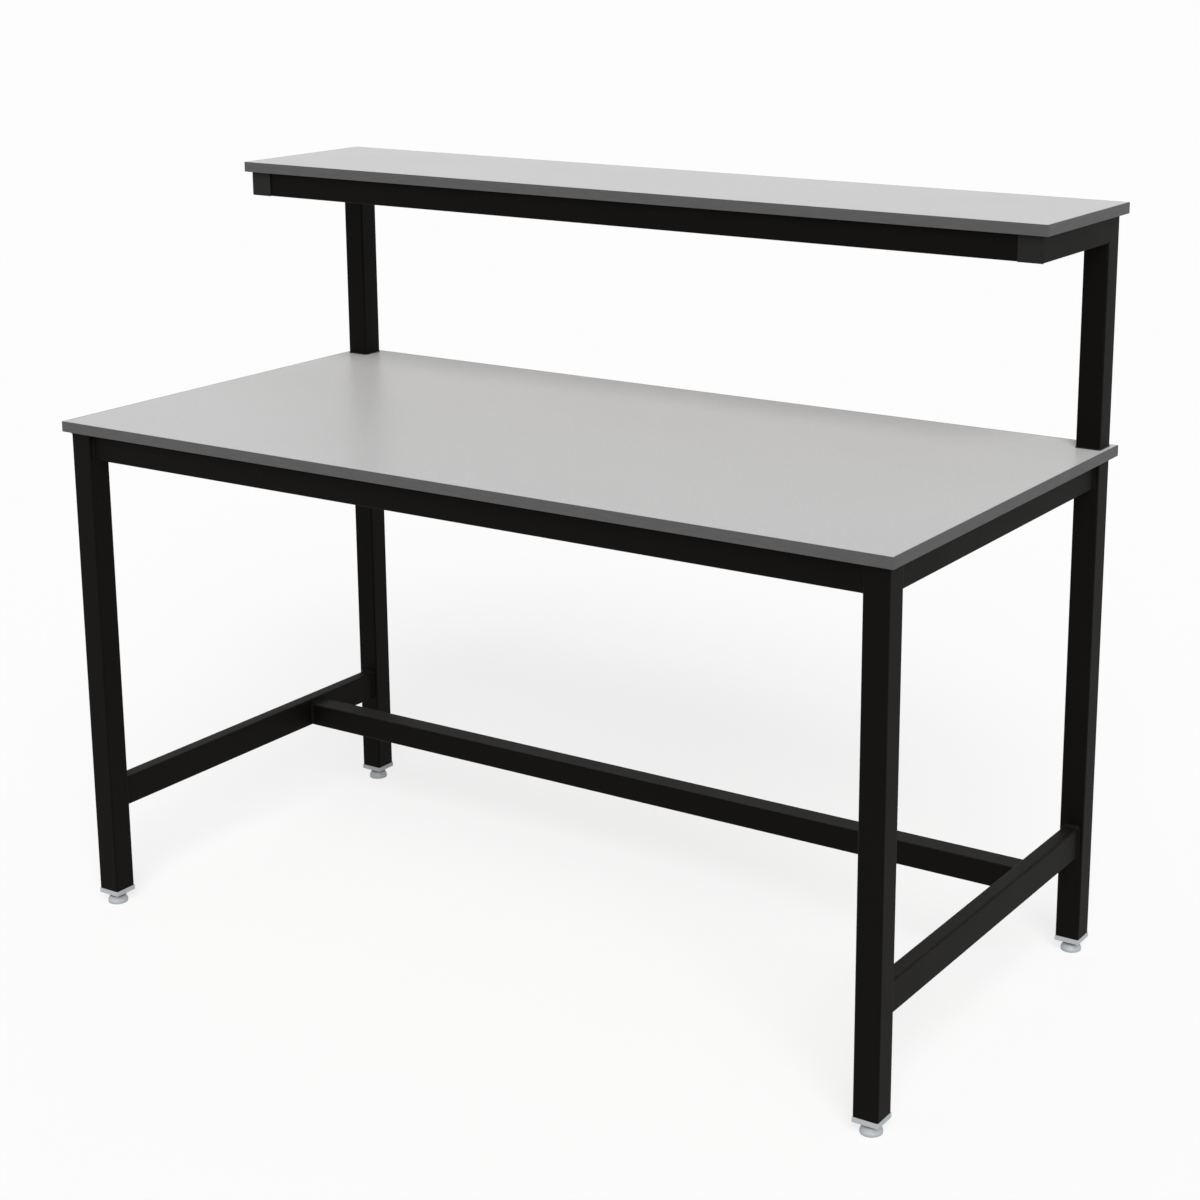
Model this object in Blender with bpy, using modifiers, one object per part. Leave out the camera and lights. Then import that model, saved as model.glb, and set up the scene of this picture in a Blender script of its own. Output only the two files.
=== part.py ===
"""Anti-static workbench with an upper shelf: laminated boards on a welded tube frame with levelling feet.

Metres, +Z up. The origin is on the floor under the worktop's middle, with +X to the right and +Y to the back.
"""

import math

import bmesh
import bpy
from mathutils import Vector

# Fits
SEAT_GAP = 0.0003
HOLE_CLEARANCE = 0.0004
CUTTER_OVERRUN = 0.002
MERGE_DISTANCE = 0.00001

# Boards
WORKTOP_WIDTH = 1.500
WORKTOP_DEPTH = 0.750
WORKTOP_HEIGHT = 0.835
BOARD_THICKNESS = 0.0168
LAMINATE_THICKNESS = 0.0008
EDGE_BAND_THICKNESS = 0.002
EDGE_BAND_ROUNDING = 0.0006
FRAME_INSET = 0.010

# Upper shelf
SHELF_RISE = 0.374
SHELF_DEPTH = 0.300
SHELF_SIDE_OVERHANG = 0.010
SHELF_FRONT_OVERHANG = 0.008
SHELF_REAR_OVERHANG = 0.012

# Box-section tube
SQUARE_TUBE = 0.040
RAIL_WIDTH = 0.025
TOP_RAIL_HEIGHT = 0.040
SHELF_RAIL_HEIGHT = 0.040
END_RAIL_HEIGHT = 0.050
END_RAIL_UNDERSIDE = 0.168
STRETCHER_SETBACK = 0.137
TUBE_WALL = 0.002
CORNER_TO_WALL = 1.5
CORNER_STEPS = 3

# Plates on the leg tops, and the wood screws
PLATE_THICKNESS = 0.004
PLATE_REACH = 0.050
PLATE_SCREW_SHARE = 0.4
SCREW_RADIUS = 0.0025
SCREW_HEAD_RADIUS = 0.005
SCREW_HEAD_HEIGHT = 0.0035
SCREW_BITE = 0.011
SHELF_SCREW_FROM_ARM_END = 0.045

# Spigots between the rear legs and the uprights
SPIGOT_REACH = 0.080
LOCK_SCREW_RADIUS = 0.003
LOCK_SCREW_HEAD_RADIUS = 0.0055
LOCK_SCREW_HEAD_HEIGHT = 0.0033
LOCK_SCREW_TIP = 0.004

# Plastic plugs in tube ends
PLUG_CORNER = 0.0015
FLANGE_ROUNDING = 0.0008
CAP_FLANGE_THICKNESS = 0.002
CAP_PLUG_LENGTH = 0.016
INSERT_FLANGE_THICKNESS = 0.008
INSERT_FLANGE_PROUD = 0.0005
INSERT_PLUG_LENGTH = 0.024

# Levelling feet
STUD_RADIUS = 0.005
STUD_LENGTH = 0.060
STUD_ROUNDING = 0.0008
HEX_WALL = 0.002
HEX_HEIGHT = 0.003
PAD_COLLAR = 0.008
PAD_FLARE = 0.0035
PAD_HEIGHT = 0.0122
PAD_RIM_HEIGHT = 0.0045
PAD_CHAMFER = 0.0008
SOCKET_DEPTH = 0.005
FOOT_LIFT_ROOM = 0.0034
ROUND_SIDES = 28

# Earth stud on the left top rail
EARTH_STUD_FROM_FRONT = 0.180
EARTH_STUD_RADIUS = 0.003
EARTH_STUD_REACH = 0.018
EARTH_HEX_HEIGHT = 0.005
SMALL_ROUND_SIDES = 16

# Heights
BOARD_UNDERSIDE = WORKTOP_HEIGHT - BOARD_THICKNESS
PLATE_TOP = BOARD_UNDERSIDE - SEAT_GAP
PLATE_UNDERSIDE = PLATE_TOP - PLATE_THICKNESS
LEG_TOP = PLATE_UNDERSIDE - SEAT_GAP
HEX_UNDERSIDE = PAD_HEIGHT + SEAT_GAP
FLANGE_UNDERSIDE = HEX_UNDERSIDE + HEX_HEIGHT + FOOT_LIFT_ROOM
FLANGE_TOP = FLANGE_UNDERSIDE + INSERT_FLANGE_THICKNESS
LEG_BOTTOM = FLANGE_TOP + SEAT_GAP
SHELF_TOP = WORKTOP_HEIGHT + SHELF_RISE
SHELF_UNDERSIDE = SHELF_TOP - BOARD_THICKNESS
LAMINATE_UNDERSIDE = WORKTOP_HEIGHT - LAMINATE_THICKNESS
UPRIGHT_BOTTOM = LAMINATE_UNDERSIDE
UPRIGHT_TOP = SHELF_UNDERSIDE - SEAT_GAP

# Plan
FRAME_X = WORKTOP_WIDTH / 2 - FRAME_INSET
FRAME_Y = WORKTOP_DEPTH / 2 - FRAME_INSET
POST_X = FRAME_X - SQUARE_TUBE / 2
POST_Y = FRAME_Y - SQUARE_TUBE / 2
CLEAR_X = FRAME_X - SQUARE_TUBE - SEAT_GAP
CLEAR_Y = FRAME_Y - SQUARE_TUBE - SEAT_GAP
SHELF_X = FRAME_X + SHELF_SIDE_OVERHANG
SHELF_REAR = FRAME_Y + SHELF_REAR_OVERHANG
SHELF_FRONT = SHELF_REAR - SHELF_DEPTH
CAP_FRONT = SHELF_FRONT + SHELF_FRONT_OVERHANG
CAP_REAR = CAP_FRONT + CAP_FLANGE_THICKNESS
ARM_FRONT = CAP_REAR + SEAT_GAP
ARM_REAR = CLEAR_Y

# Sections
TUBE_CORNER = CORNER_TO_WALL * TUBE_WALL
PLUG_SIDE = SQUARE_TUBE - 2 * (TUBE_WALL + SEAT_GAP)
SOCKET_RADIUS = STUD_RADIUS + HOLE_CLEARANCE
PAD_TOP_RADIUS = STUD_RADIUS + PAD_COLLAR
PAD_RADIUS = PAD_TOP_RADIUS + PAD_FLARE

SIDES = {"left": -1, "right": 1}
ENDS = {"front": -1, "rear": 1}
TURN_TO_AXIS = {"X": (0, math.pi / 2, 0), "Y": (-math.pi / 2, 0, 0), "Z": (0, 0, 0)}

# Finishes: colour, roughness, metallic
FINISHES = {
    "grey_laminate": ((0.58, 0.58, 0.58), 0.35, 0.0),
    "dark_edge_band": ((0.105, 0.105, 0.105), 0.45, 0.0),
    "chipboard": ((0.42, 0.30, 0.18), 0.85, 0.0),
    "black_powder_coat": ((0.012, 0.0115, 0.0105), 0.45, 0.0),
    "dark_plastic": ((0.022, 0.022, 0.021), 0.5, 0.0),
    "light_grey_plastic": ((0.45, 0.47, 0.49), 0.5, 0.0),
    "zinc_plate": ((0.62, 0.63, 0.65), 0.32, 1.0),
    "brass": ((0.72, 0.52, 0.22), 0.3, 1.0),
}


def clear_scene():
    for obj in list(bpy.data.objects):
        bpy.data.objects.remove(obj, do_unlink=True)


def new_collection(name):
    collection = bpy.data.collections.new(name)
    bpy.context.scene.collection.children.link(collection)
    return collection


def new_finish(name, colour, roughness, metallic):
    material = bpy.data.materials.new(name)
    material.use_nodes = True
    shader = material.node_tree.nodes["Principled BSDF"]
    shader.inputs["Base Color"].default_value = (*colour, 1.0)
    shader.inputs["Roughness"].default_value = roughness
    shader.inputs["Metallic"].default_value = metallic
    return material


clear_scene()
PARTS = new_collection("anti_static_workbench")
CUTTERS = new_collection("cutters")
MATERIALS = {name: new_finish(name, *values) for name, values in FINISHES.items()}


def new_object(name, bm, finish):
    """An object from a bmesh: a part with its finish, or a cutter where finish is None."""
    mesh = bpy.data.meshes.new(name)
    bm.to_mesh(mesh)
    bm.free()
    obj = bpy.data.objects.new(name, mesh)
    if finish is None:
        obj.hide_render = True
        obj.display_type = "WIRE"
        CUTTERS.objects.link(obj)
    else:
        mesh.materials.append(MATERIALS[finish])
        PARTS.objects.link(obj)
    return obj


def shade_round(obj):
    obj.data.shade_smooth()
    obj.data.set_sharp_from_angle(angle=math.radians(35))


def combine(obj, other, operation):
    step = obj.modifiers.new(f"{operation.lower()}_{other.name}", "BOOLEAN")
    step.operation = operation
    step.object = other
    step.solver = "EXACT"


def cut(obj, *cutters):
    for cutter in cutters:
        combine(obj, cutter, "DIFFERENCE")


def join(obj, other):
    combine(obj, other, "UNION")


def round_edges(obj, radius, segments=2):
    bevel = obj.modifiers.new("rounding", "BEVEL")
    bevel.width = radius
    bevel.segments = segments
    bevel.limit_method = "ANGLE"


def block(name, low, high, finish=None):
    """A rectangular block between two corners."""
    low, high = Vector(low), Vector(high)
    bm = bmesh.new()
    bmesh.ops.create_cube(bm, size=1.0)
    bmesh.ops.scale(bm, vec=high - low, verts=bm.verts)
    obj = new_object(name, bm, finish)
    obj.location = (low + high) / 2
    return obj


def rod(name, start, end, radius, sides, finish=None):
    """A round bar, or a hexagon where sides is 6, from one point to another."""
    start, end = Vector(start), Vector(end)
    length = (end - start).length
    bm = bmesh.new()
    bmesh.ops.create_cone(bm, cap_ends=True, segments=sides, radius1=radius, radius2=radius, depth=length)
    obj = new_object(name, bm, finish)
    if sides > 6:
        shade_round(obj)
    obj.location = (start + end) / 2
    obj.rotation_euler = (end - start).to_track_quat("Z", "Y").to_euler()
    return obj


def small_rod(name, start, end, radius, finish=None):
    return rod(name, start, end, radius, SMALL_ROUND_SIDES, finish)


def hexagon(name, start, end, stud_radius, finish=None):
    """A hexagon whose flats stand out from a stud."""
    corner_radius = (stud_radius + HEX_WALL) * 2 / math.sqrt(3)
    return rod(name, start, end, corner_radius, 6, finish)


def box_tube(name, axis, middle, length, width, height, finish="black_powder_coat"):
    """A box-section tube, open at both ends. On an upright tube, width is along X and height along Y."""
    across = (height, width) if axis == "X" else (width, height)
    bm = bmesh.new()
    bmesh.ops.create_cube(bm, size=1.0)
    bmesh.ops.scale(bm, vec=(*across, length), verts=bm.verts)
    long_edges = [e for e in bm.edges if abs(e.verts[0].co.z - e.verts[1].co.z) > length / 2]
    bmesh.ops.bevel(
        bm, geom=long_edges, offset=TUBE_CORNER, segments=CORNER_STEPS, profile=0.5, affect="EDGES"
    )
    bm.normal_update()
    ends = [f for f in bm.faces if abs(f.normal.z) > 0.9]
    bmesh.ops.delete(bm, geom=ends, context="FACES_ONLY")
    obj = new_object(name, bm, finish)
    shade_round(obj)
    obj.location = middle
    obj.rotation_euler = TURN_TO_AXIS[axis]
    wall = obj.modifiers.new("wall", "SOLIDIFY")
    wall.thickness = TUBE_WALL
    wall.offset = -1
    wall.use_even_offset = True
    return obj


def post(name, x, y, low, high, side=SQUARE_TUBE, finish="black_powder_coat"):
    return box_tube(name, "Z", (x, y, (low + high) / 2), high - low, side, side, finish)


def board(name, low, high, core_cutters, laminate_cutters):
    """A board between two corners: its core, the laminate on it, and a band on each of its four edges."""
    (x0, y0, z0), (x1, y1, z1) = low, high
    band = EDGE_BAND_THICKNESS
    inner = band + SEAT_GAP
    laminate_z = z1 - LAMINATE_THICKNESS
    near, far = (x0 + inner, y0 + inner), (x1 - inner, y1 - inner)
    core = block(f"{name}_core", (*near, z0), (*far, laminate_z - SEAT_GAP), "chipboard")
    cut(core, *core_cutters)
    laminate = block(f"{name}_laminate", (*near, laminate_z), (*far, z1), "grey_laminate")
    cut(laminate, *laminate_cutters)
    bands = {
        "front": ((x0, y0), (x1, y0 + band)),
        "rear": ((x0, y1 - band), (x1, y1)),
        "left": ((x0, y0 + inner), (x0 + band, y1 - inner)),
        "right": ((x1 - band, y0 + inner), (x1, y1 - inner)),
    }
    for edge, (start, end) in bands.items():
        strip = block(f"{name}_edge_{edge}", (*start, z0), (*end, z1), "dark_edge_band")
        round_edges(strip, EDGE_BAND_ROUNDING)


def wood_screw(name, x, y, seat, board_underside):
    """A pan-head screw driven up from its seat into a board. Returns the cutter for its hole."""
    tip = board_underside + SCREW_BITE
    head_top = seat - SEAT_GAP
    head_middle = head_top - SCREW_HEAD_HEIGHT / 2
    head_underside = head_top - SCREW_HEAD_HEIGHT
    screw = small_rod(name, (x, y, head_underside), (x, y, head_top), SCREW_HEAD_RADIUS, "zinc_plate")
    join(screw, small_rod(f"{name}_shank", (x, y, head_middle), (x, y, tip), SCREW_RADIUS))
    low, high = seat - CUTTER_OVERRUN, tip + SEAT_GAP
    return small_rod(f"{name}_hole", (x, y, low), (x, y, high), SCREW_RADIUS + HOLE_CLEARANCE)


def spigot(side, sign):
    """The inner tube that ties an upright to its rear leg, and the cutter for its way through the worktop."""
    x = sign * POST_X
    low, high = LEG_TOP - SPIGOT_REACH, UPRIGHT_BOTTOM + SPIGOT_REACH
    tube = post(f"upright_spigot_{side}", x, POST_Y, low, high, PLUG_SIDE, "zinc_plate")
    half = PLUG_SIDE / 2 + HOLE_CLEARANCE
    way = block(
        f"spigot_way_{side}",
        (x - half, POST_Y - half, PLATE_UNDERSIDE - CUTTER_OVERRUN),
        (x + half, POST_Y + half, WORKTOP_HEIGHT + CUTTER_OVERRUN),
    )
    return tube, way


def laminate_cutout(side, sign):
    """The cutter for the opening in the laminate through which an upright stands on the board."""
    half = SQUARE_TUBE / 2 + HOLE_CLEARANCE
    x = sign * POST_X
    low = (x - half, POST_Y - half, LAMINATE_UNDERSIDE - CUTTER_OVERRUN)
    high = (x + half, POST_Y + half, WORKTOP_HEIGHT + CUTTER_OVERRUN)
    return block(f"laminate_cutout_{side}", low, high)


def lock_screw(side, sign, leg, tube):
    """The button-head screw through the back of a rear leg into its spigot."""
    name = f"spigot_screw_{side}"
    x, z = sign * POST_X, LEG_TOP - SPIGOT_REACH / 2
    seat = FRAME_Y + SEAT_GAP
    head_end = seat + LOCK_SCREW_HEAD_HEIGHT
    head_middle = seat + LOCK_SCREW_HEAD_HEIGHT / 2
    tip = FRAME_Y - 2 * TUBE_WALL - SEAT_GAP - LOCK_SCREW_TIP
    screw = small_rod(name, (x, seat, z), (x, head_end, z), LOCK_SCREW_HEAD_RADIUS, "zinc_plate")
    join(screw, small_rod(f"{name}_shank", (x, head_middle, z), (x, tip, z), LOCK_SCREW_RADIUS))
    near, far = FRAME_Y + CUTTER_OVERRUN, tip - CUTTER_OVERRUN
    hole = small_rod(f"{name}_hole", (x, near, z), (x, far, z), LOCK_SCREW_RADIUS + HOLE_CLEARANCE)
    cut(leg, hole)
    cut(tube, hole)


def corner_plate(corner, x_sign, y_sign, cutters):
    """The plate on a leg's top that carries a corner of the worktop. Its inner corner is cut off."""
    side = SQUARE_TUBE + PLATE_REACH
    xs = sorted((x_sign * FRAME_X, x_sign * (FRAME_X - side)))
    ys = sorted((y_sign * FRAME_Y, y_sign * (FRAME_Y - side)))
    low, high = (xs[0], ys[0], PLATE_UNDERSIDE), (xs[1], ys[1], PLATE_TOP)
    plate = block(f"corner_plate_{corner}", low, high, "black_powder_coat")
    half = PLATE_REACH / 2
    trim = block(
        f"corner_plate_trim_{corner}",
        (-half, -half, PLATE_UNDERSIDE - CUTTER_OVERRUN),
        (half, half, PLATE_TOP + CUTTER_OVERRUN),
    )
    trim.location.x = x_sign * (FRAME_X - side)
    trim.location.y = y_sign * (FRAME_Y - side)
    trim.rotation_euler.z = math.pi / 4
    cut(plate, trim, *cutters)


def leg_insert(corner, x, y):
    """The flanged plastic plug in a leg's lower end, bored for the stud."""
    name = f"leg_insert_{corner}"
    half = SQUARE_TUBE / 2 + INSERT_FLANGE_PROUD
    low, high = (x - half, y - half, FLANGE_UNDERSIDE), (x + half, y + half, FLANGE_TOP)
    insert = block(name, low, high, "light_grey_plastic")
    round_edges(insert, FLANGE_ROUNDING)
    half = PLUG_SIDE / 2
    flange_middle = FLANGE_TOP - INSERT_FLANGE_THICKNESS / 2
    plug_top = FLANGE_TOP + INSERT_PLUG_LENGTH
    plug = block(f"{name}_plug", (x - half, y - half, flange_middle), (x + half, y + half, plug_top))
    round_edges(plug, PLUG_CORNER, segments=1)
    low, high = FLANGE_UNDERSIDE - CUTTER_OVERRUN, plug_top + CUTTER_OVERRUN
    bore = rod(f"{name}_bore", (x, y, low), (x, y, high), STUD_RADIUS + HOLE_CLEARANCE, ROUND_SIDES)
    join(insert, plug)
    cut(insert, bore)


def pad_profile():
    """Radius and height along the pad's section, from the socket's floor over the rim to the underside."""
    socket_floor = PAD_HEIGHT - SOCKET_DEPTH
    return [
        (0.0, socket_floor),
        (SOCKET_RADIUS, socket_floor),
        (SOCKET_RADIUS, PAD_HEIGHT),
        (PAD_TOP_RADIUS, PAD_HEIGHT),
        (PAD_RADIUS, PAD_RIM_HEIGHT),
        (PAD_RADIUS, PAD_CHAMFER),
        (PAD_RADIUS - PAD_CHAMFER, 0.0),
        (0.0, 0.0),
    ]


def foot_pad(corner, axis):
    """The round pad that stands on the floor, turned from its profile."""
    bm = bmesh.new()
    points = [bm.verts.new((radius, 0.0, height)) for radius, height in pad_profile()]
    edges = [bm.edges.new(pair) for pair in zip(points, points[1:])]
    bmesh.ops.spin(
        bm,
        geom=[*points, *edges],
        cent=(0, 0, 0),
        axis=(0, 0, 1),
        angle=2 * math.pi,
        steps=ROUND_SIDES,
        use_merge=True,
    )
    bmesh.ops.remove_doubles(bm, verts=bm.verts, dist=MERGE_DISTANCE)
    bmesh.ops.recalc_face_normals(bm, faces=bm.faces)
    pad = new_object(f"foot_pad_{corner}", bm, "light_grey_plastic")
    shade_round(pad)
    pad.parent = axis


def foot_stud(corner, axis):
    """The threaded stud that stands in the pad's socket, with the hexagon that turns it."""
    name = f"foot_stud_{corner}"
    low = PAD_HEIGHT - SOCKET_DEPTH + SEAT_GAP
    stud = rod(name, (0, 0, low), (0, 0, low + STUD_LENGTH), STUD_RADIUS, ROUND_SIDES, "zinc_plate")
    hex_top = HEX_UNDERSIDE + HEX_HEIGHT
    nut = hexagon(f"{name}_hexagon", (0, 0, HEX_UNDERSIDE), (0, 0, hex_top), STUD_RADIUS)
    stud.parent = axis
    nut.parent = axis
    round_edges(stud, STUD_ROUNDING)
    join(stud, nut)


def levelling_foot(corner, x, y):
    axis = bpy.data.objects.new(f"foot_axis_{corner}", None)
    axis.location = (x, y, 0)
    axis.empty_display_size = PAD_RADIUS
    PARTS.objects.link(axis)
    foot_pad(corner, axis)
    foot_stud(corner, axis)


def legs():
    """The four legs with their inserts and feet. Returns the legs by corner."""
    made = {}
    for end, y_sign in ENDS.items():
        for side, x_sign in SIDES.items():
            corner = f"{end}_{side}"
            x, y = x_sign * POST_X, y_sign * POST_Y
            made[corner] = post(f"leg_{corner}", x, y, LEG_BOTTOM, LEG_TOP)
            leg_insert(corner, x, y)
            levelling_foot(corner, x, y)
    return made


def cross_rail(name, y, z, height):
    box_tube(name, "X", (0, y, z), 2 * CLEAR_X, RAIL_WIDTH, height)


def side_rail(name, x, z, height):
    return box_tube(name, "Y", (x, 0, z), 2 * CLEAR_Y, RAIL_WIDTH, height)


def frame_rails():
    """The rails and the stretcher of the welded frame. Returns the top rails at the sides."""
    top_z = LEG_TOP - TOP_RAIL_HEIGHT / 2
    end_z = END_RAIL_UNDERSIDE + END_RAIL_HEIGHT / 2
    for end, sign in ENDS.items():
        cross_rail(f"top_rail_{end}", sign * POST_Y, top_z, TOP_RAIL_HEIGHT)
    side_tops = {}
    for side, sign in SIDES.items():
        side_tops[side] = side_rail(f"top_rail_{side}", sign * POST_X, top_z, TOP_RAIL_HEIGHT)
        side_rail(f"end_rail_{side}", sign * POST_X, end_z, END_RAIL_HEIGHT)
    half_length = POST_X - RAIL_WIDTH / 2 - SEAT_GAP
    y = FRAME_Y - SQUARE_TUBE - STRETCHER_SETBACK - SQUARE_TUBE / 2
    z = END_RAIL_UNDERSIDE + SQUARE_TUBE / 2
    box_tube("stretcher", "X", (0, y, z), 2 * half_length, SQUARE_TUBE, SQUARE_TUBE)
    return side_tops


def earth_stud(rail):
    """The brass stud through the inner wall of the left top rail."""
    name = "earth_stud"
    face = -POST_X + RAIL_WIDTH / 2
    y = -FRAME_Y + EARTH_STUD_FROM_FRONT
    z = LEG_TOP - TOP_RAIL_HEIGHT / 2
    seat = face + SEAT_GAP
    stud = hexagon(name, (seat, y, z), (seat + EARTH_HEX_HEIGHT, y, z), EARTH_STUD_RADIUS, "brass")
    inner_end = face - TUBE_WALL - EARTH_HEX_HEIGHT
    outer_end = face + EARTH_STUD_REACH
    join(stud, small_rod(f"{name}_shank", (inner_end, y, z), (outer_end, y, z), EARTH_STUD_RADIUS))
    near, far = face - TUBE_WALL - CUTTER_OVERRUN, face + CUTTER_OVERRUN
    cut(rail, small_rod(f"{name}_hole", (near, y, z), (far, y, z), EARTH_STUD_RADIUS + HOLE_CLEARANCE))


def worktop(leg_tubes):
    """The worktop on its corner plates, with the spigots that pass through it at the back."""
    ways = {}
    for side, sign in SIDES.items():
        tube, ways[side] = spigot(side, sign)
        lock_screw(side, sign, leg_tubes[f"rear_{side}"], tube)
    screw_holes = []
    screw_inset = SQUARE_TUBE + PLATE_SCREW_SHARE * PLATE_REACH
    for end, y_sign in ENDS.items():
        for side, x_sign in SIDES.items():
            corner = f"{end}_{side}"
            x, y = x_sign * (FRAME_X - screw_inset), y_sign * (FRAME_Y - screw_inset)
            hole = wood_screw(f"worktop_screw_{corner}", x, y, PLATE_UNDERSIDE, BOARD_UNDERSIDE)
            screw_holes.append(hole)
            corner_plate(corner, x_sign, y_sign, [hole, ways[side]] if end == "rear" else [hole])
    low = (-WORKTOP_WIDTH / 2, -WORKTOP_DEPTH / 2, BOARD_UNDERSIDE)
    high = (WORKTOP_WIDTH / 2, WORKTOP_DEPTH / 2, WORKTOP_HEIGHT)
    cutouts = [laminate_cutout(side, sign) for side, sign in SIDES.items()]
    board("worktop", low, high, [*screw_holes, *ways.values()], cutouts)


def arm_cap(side, x, z):
    """The plastic plug in the front end of a shelf arm."""
    name = f"arm_cap_{side}"
    half = SQUARE_TUBE / 2
    cap = block(name, (x - half, CAP_FRONT, z - half), (x + half, CAP_REAR, z + half), "dark_plastic")
    round_edges(cap, FLANGE_ROUNDING)
    half = PLUG_SIDE / 2
    low = (x - half, CAP_REAR - CAP_FLANGE_THICKNESS / 2, z - half)
    high = (x + half, CAP_REAR + CAP_PLUG_LENGTH, z + half)
    plug = block(f"{name}_plug", low, high)
    round_edges(plug, PLUG_CORNER, segments=1)
    join(cap, plug)


def shelf_arm(side, x, z):
    """An arm with its cap and its two screws. Returns the cutters for the screws' holes."""
    middle = (x, (ARM_FRONT + ARM_REAR) / 2, z)
    arm = box_tube(f"shelf_arm_{side}", "Y", middle, ARM_REAR - ARM_FRONT, SQUARE_TUBE, SQUARE_TUBE)
    arm_cap(side, x, z)
    rows = {"front": ARM_FRONT + SHELF_SCREW_FROM_ARM_END, "rear": ARM_REAR - SHELF_SCREW_FROM_ARM_END}
    seat = z - SQUARE_TUBE / 2
    holes = [wood_screw(f"shelf_screw_{row}_{side}", x, y, seat, SHELF_UNDERSIDE) for row, y in rows.items()]
    cut(arm, *holes)
    return holes


def upper_shelf():
    """The uprights, arms, rails and board of the upper shelf."""
    holes = []
    for side, sign in SIDES.items():
        post(f"upright_{side}", sign * POST_X, POST_Y, UPRIGHT_BOTTOM, UPRIGHT_TOP)
        holes += shelf_arm(side, sign * POST_X, UPRIGHT_TOP - SQUARE_TUBE / 2)
    rail_z = UPRIGHT_TOP - SHELF_RAIL_HEIGHT / 2
    cross_rail("shelf_rail_front", ARM_FRONT + RAIL_WIDTH / 2, rail_z, SHELF_RAIL_HEIGHT)
    cross_rail("shelf_rail_rear", POST_Y, rail_z, SHELF_RAIL_HEIGHT)
    low, high = (-SHELF_X, SHELF_FRONT, SHELF_UNDERSIDE), (SHELF_X, SHELF_REAR, SHELF_TOP)
    board("shelf", low, high, holes, [])


def main():
    leg_tubes = legs()
    side_tops = frame_rails()
    earth_stud(side_tops["left"])
    worktop(leg_tubes)
    upper_shelf()


main()
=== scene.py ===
"""Looks of an anti-static workbench with an upper shelf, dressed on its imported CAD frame.

Laid out as an add-on and run as a script. Metres: +X to the right, +Y to the back, +Z up.
"""

import math
from functools import partial
from typing import NamedTuple

import bmesh
import bpy
from bpy.props import FloatProperty, FloatVectorProperty, PointerProperty
from bpy.types import Operator, Panel, PropertyGroup
from mathutils import Matrix, Vector


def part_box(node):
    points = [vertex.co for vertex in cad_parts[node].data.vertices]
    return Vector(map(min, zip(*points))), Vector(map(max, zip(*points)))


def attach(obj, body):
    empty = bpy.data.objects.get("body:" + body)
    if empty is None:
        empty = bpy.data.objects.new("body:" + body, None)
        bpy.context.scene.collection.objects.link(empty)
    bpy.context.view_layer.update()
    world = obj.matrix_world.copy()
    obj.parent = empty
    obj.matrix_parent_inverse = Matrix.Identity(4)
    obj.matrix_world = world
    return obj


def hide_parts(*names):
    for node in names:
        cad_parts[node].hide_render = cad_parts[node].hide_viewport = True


bl_info = {
    "name": "Anti-static workbench",
    "version": (1, 0, 0),
    "blender": (4, 5, 0),
    "location": "3D View > Sidebar > Workbench",
    "description": "Dresses the CAD frame of a workbench with finishes, welds, feet and fasteners",
    "category": "Object",
}

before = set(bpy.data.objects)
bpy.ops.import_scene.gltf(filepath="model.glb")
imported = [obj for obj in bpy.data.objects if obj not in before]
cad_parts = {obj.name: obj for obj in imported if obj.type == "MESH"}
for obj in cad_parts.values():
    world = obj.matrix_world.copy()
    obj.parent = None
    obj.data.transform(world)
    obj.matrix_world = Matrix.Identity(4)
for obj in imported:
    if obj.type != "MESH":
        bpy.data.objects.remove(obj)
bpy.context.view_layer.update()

RIGHT = Vector((1.0, 0.0, 0.0))
BACK = Vector((0.0, 1.0, 0.0))
UP = Vector((0.0, 0.0, 1.0))

# The bench's plan, and the tubes and plates of its frame
SIDES = {"left": -1, "right": 1}
ENDS = ("front", "rear")
EDGES = (*ENDS, *SIDES)
CORNERS = [f"{end}_{side}" for end in ENDS for side in SIDES]
BOARDS = ("worktop", "shelf")
FRAME_NODES = [
    *(f"leg_{corner}" for corner in CORNERS),
    *(f"corner_plate_{corner}" for corner in CORNERS),
    *(f"top_rail_{edge}" for edge in EDGES),
    *(f"shelf_rail_{end}" for end in ENDS),
    *(f"{part}_{side}" for part in ("end_rail", "upright", "shelf_arm") for side in SIDES),
    "stretcher",
]
# Outer radius of the tubes' corners, and the gap between pieces that touch
TUBE_RADIUS = 0.003
PLAY = 0.0003

# CAD points closer than this are one point, and edges sharper than this angle stay sharp in smooth shading
JOIN_DISTANCE = 1e-6
SHARP_ANGLE = math.radians(38)
# Weight of large faces over small ones in the shading of a CAD piece, from 1 to 100, where 50 favours neither
LARGE_FACE_WEIGHT = 100

# Angle in radians between the two ways in which the boards' chips lie
CHIP_SLANT = 0.9

# Turned pieces: points round them, steps of a bend in their profile, and rings in one turn of a thread
ROUND_POINTS = 48
BEND_STEPS = 4
THREAD_RINGS = 6
# How steep a thread's flanks are, and how far in, as a share of its width across the flats, and how steeply a
# hexagon's corners are turned off
FLANK_SLOPE = 1.5
HEXAGON_TURNED = 0.475
HEXAGON_SLOPE = math.tan(math.radians(30))
# Chamfers at the ends of a stud, and at the mouth of a socket and the edges of a washer
STUD_CHAMFER = 0.0008
SMALL_CHAMFER = 0.0003
# The lip of a screw's recess. The cross recess's mouth and floor as the reach and half the width of its bars,
# and the socket's width across the flats, all as shares of the head's radius
RECESS_LIP = 0.0001
CROSS_MOUTH = (0.62, 0.13)
CROSS_FLOOR = (0.30, 0.09)
SOCKET_FLATS = 0.72
# The least sine or cosine that a length is divided by
LEAST_DIVISOR = 1e-6

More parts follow.
